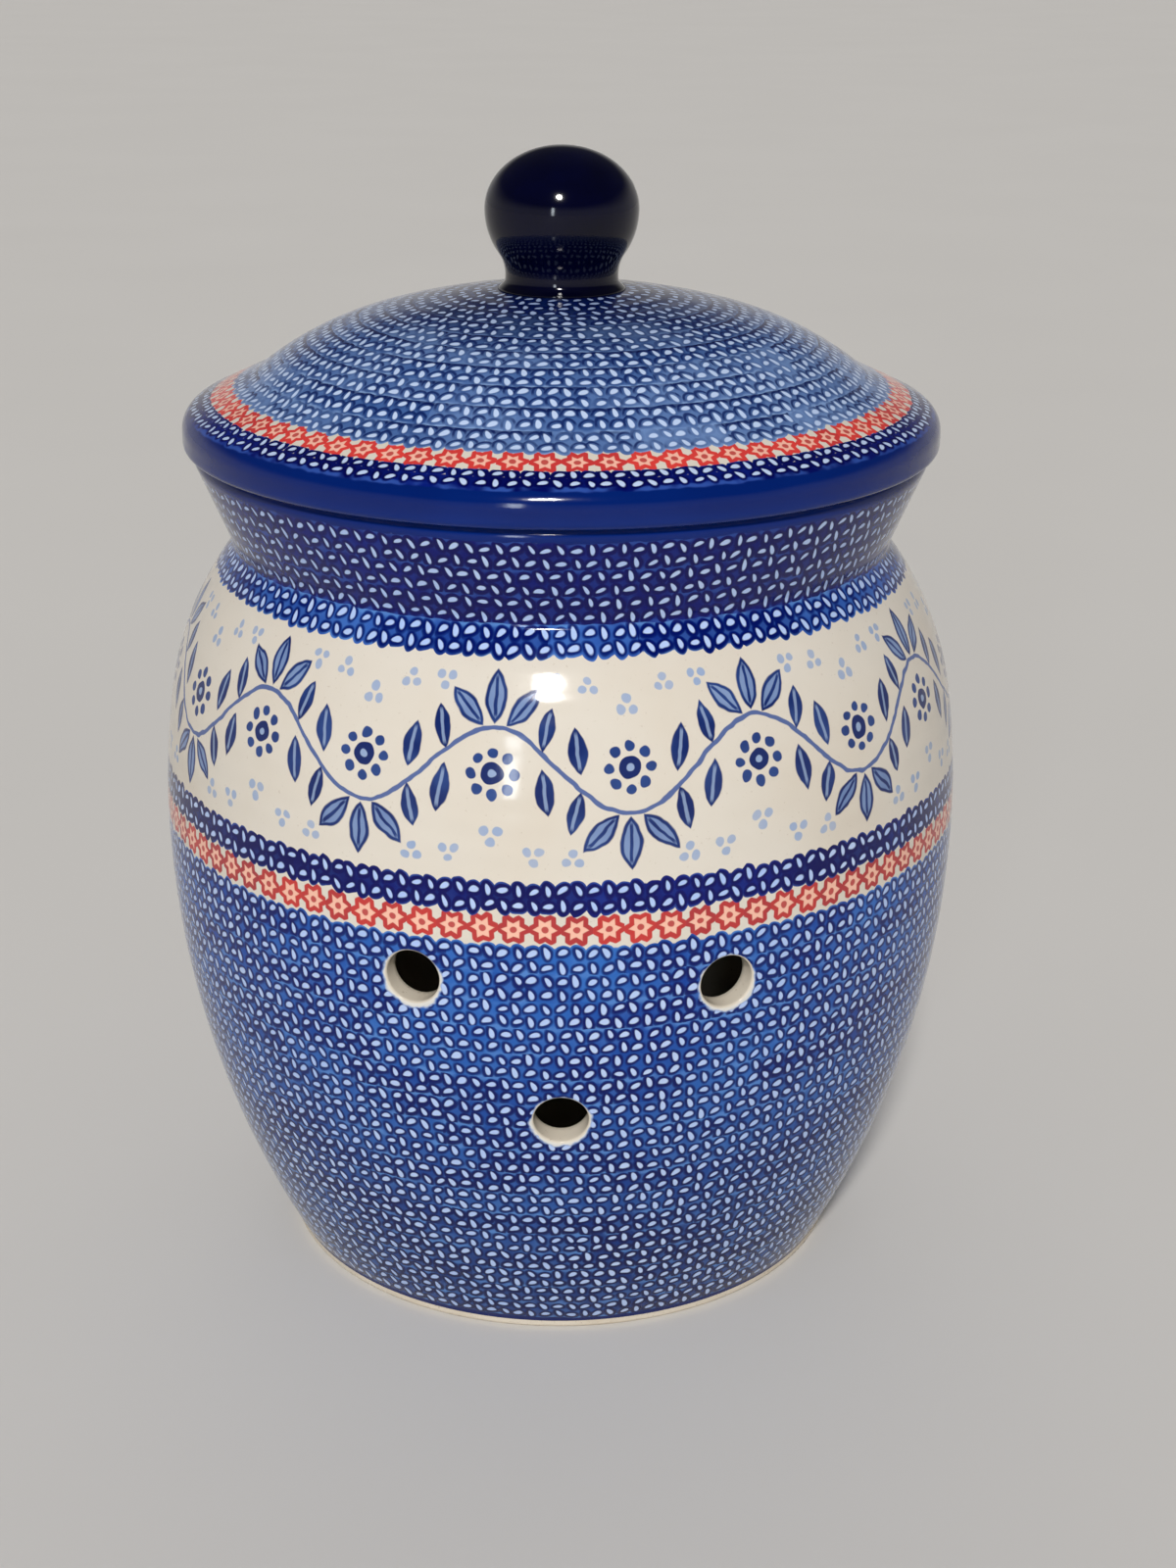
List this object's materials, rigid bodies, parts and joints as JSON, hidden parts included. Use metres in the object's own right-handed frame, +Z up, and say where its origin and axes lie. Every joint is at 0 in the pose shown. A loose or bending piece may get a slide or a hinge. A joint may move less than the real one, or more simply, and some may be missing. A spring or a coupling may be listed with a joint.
{
  "type": "potato storage jar",
  "caption": "Round-bellied glazed stoneware jar with a flared collar, pierced vent holes on the front and a loose domed lid with a ball knob, for keeping potatoes dark and aired.",
  "frame": {"origin": "centre of the foot, on the surface that the jar stands on", "axes": "+Z up along the jar's turning axis; the vent holes face -Y"},
  "size_m": [0.2999, 0.3, 0.415],
  "materials": {
    "jar_glaze": "clear gloss glaze over stamped blue, red and cream decoration",
    "lid_glaze": "clear gloss glaze over stamped blue and red decoration, plain cobalt rolled edge",
    "knob_glaze": "deep cobalt gloss glaze"
  },
  "bodies": {
    "jar_body": {"jar": "jar_glaze"},
    "lid_body": {"lid": "lid_glaze", "knob": "knob_glaze"}
  },
  "joints": [
    {"name": "lid_lift", "type": "slide", "parent": "jar_body", "child": "lid_body", "axis": [0, 0, 1], "range_m": [0, 0.12]}
  ]
}
